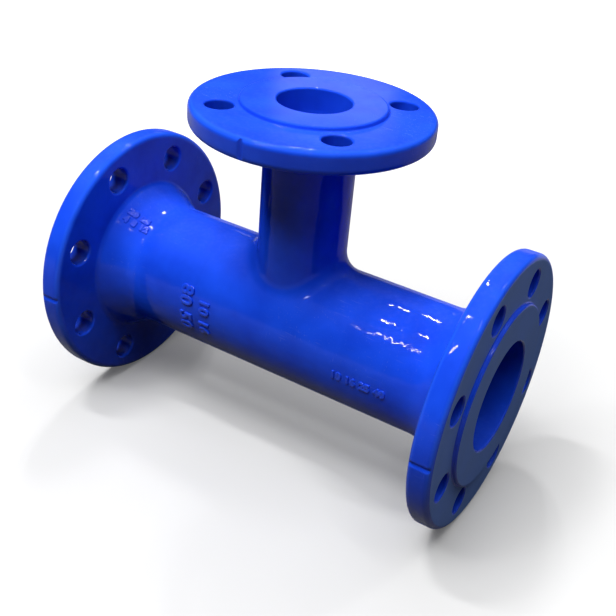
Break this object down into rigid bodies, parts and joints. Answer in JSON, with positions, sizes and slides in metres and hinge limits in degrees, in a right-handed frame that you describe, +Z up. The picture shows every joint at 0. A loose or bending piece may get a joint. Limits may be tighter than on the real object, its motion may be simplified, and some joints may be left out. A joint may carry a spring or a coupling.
{
  "type": "flanged reducing tee",
  "caption": "Cast pipe tee with flanged run ends and a smaller flanged branch that rises square from the middle, coated in glossy blue epoxy.",
  "frame": {"origin": "where the centre line of the run crosses the centre line of the branch", "axes": "+X along the run, +Z up the branch, +Y square to both"},
  "size_m": [0.33, 0.2, 0.265],
  "materials": {
    "blue_epoxy": "glossy fusion-bonded epoxy coating over cast iron, slightly wavy, on every face, bore and bolt hole"
  },
  "bodies": {
    "root": {"tee_casting": "blue_epoxy"}
  },
  "joints": []
}
